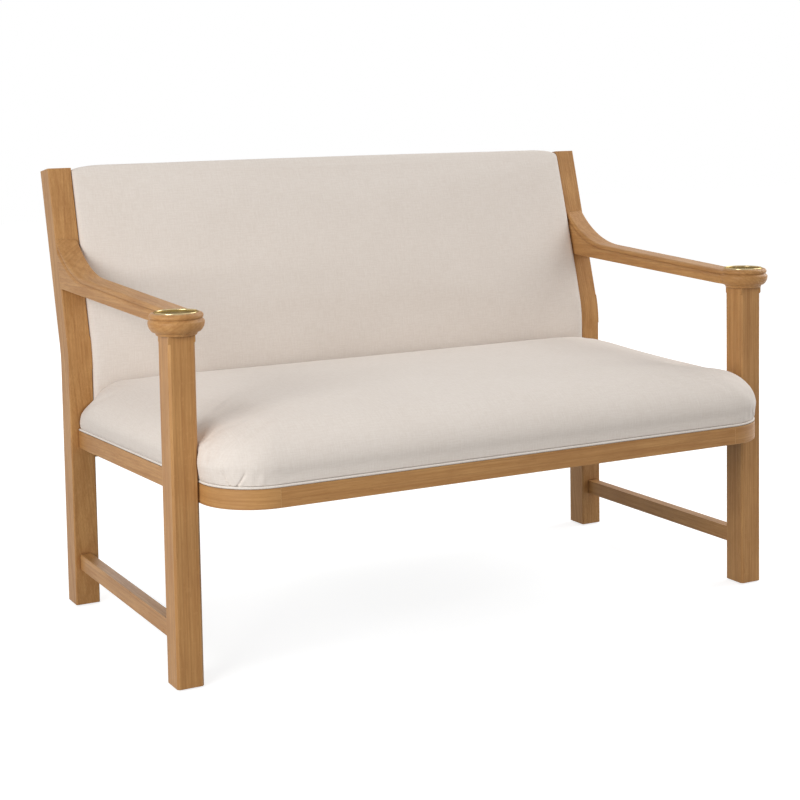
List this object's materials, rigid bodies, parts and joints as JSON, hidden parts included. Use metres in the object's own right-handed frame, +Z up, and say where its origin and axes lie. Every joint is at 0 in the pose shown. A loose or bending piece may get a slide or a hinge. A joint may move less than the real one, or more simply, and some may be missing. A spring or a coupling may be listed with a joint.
{
  "type": "settee",
  "caption": "Upholstered open-arm settee with square wooden posts, moulded arms with round brass-topped ends, a tight crowned seat and a tight leaning back.",
  "frame": {"origin": "on the floor, under the middle of the bounding box", "axes": "+Z up, the settee faces -Y, and +X is the end that is on the right when it is seen from the front"},
  "size_m": [1.349, 0.8482, 0.9038],
  "materials": {
    "oak": "light oak with a clear satin finish",
    "frame_wood": "bare sawn hardwood",
    "brass": "polished brass",
    "steel": "zinc-plated steel",
    "glide": "dark brown nylon",
    "linen": "cream plain-weave linen",
    "foam": "upholstery foam under wadding",
    "webbing": "woven jute strap",
    "lining": "black lining cloth"
  },
  "bodies": {
    "root": {"front_post_left": "oak", "front_post_right": "oak", "back_post_left": "oak", "back_post_right": "oak", "arm_left": "oak", "arm_right": "oak", "brass_cup_left": "brass", "brass_cup_right": "brass", "side_stretcher_left": "oak", "side_stretcher_right": "oak", "front_rail": "oak", "rail_corner_left": "oak", "rail_corner_right": "oak", "side_rail_left": "oak", "side_rail_right": "oak", "back_rail": "frame_wood", "front_block_left": "frame_wood", "front_block_right": "frame_wood", "back_block_left": "frame_wood", "back_block_right": "frame_wood", "back_top_rail": "frame_wood", "back_lower_rail": "frame_wood", "rail_dowels": "frame_wood", "arm_dowels": "frame_wood", "block_screws": "steel", "post_bolts": "steel", "arm_bolts": "steel", "bolt_plugs": "oak", "foot_glides": "glide", "seat_webbing": "webbing", "seat_foam": "foam", "seat_cover": "linen", "seat_welt": "linen", "dust_cover": "lining", "back_webbing": "webbing", "back_foam": "foam", "back_cover": "linen", "outside_back": "linen"}
  },
  "joints": []
}
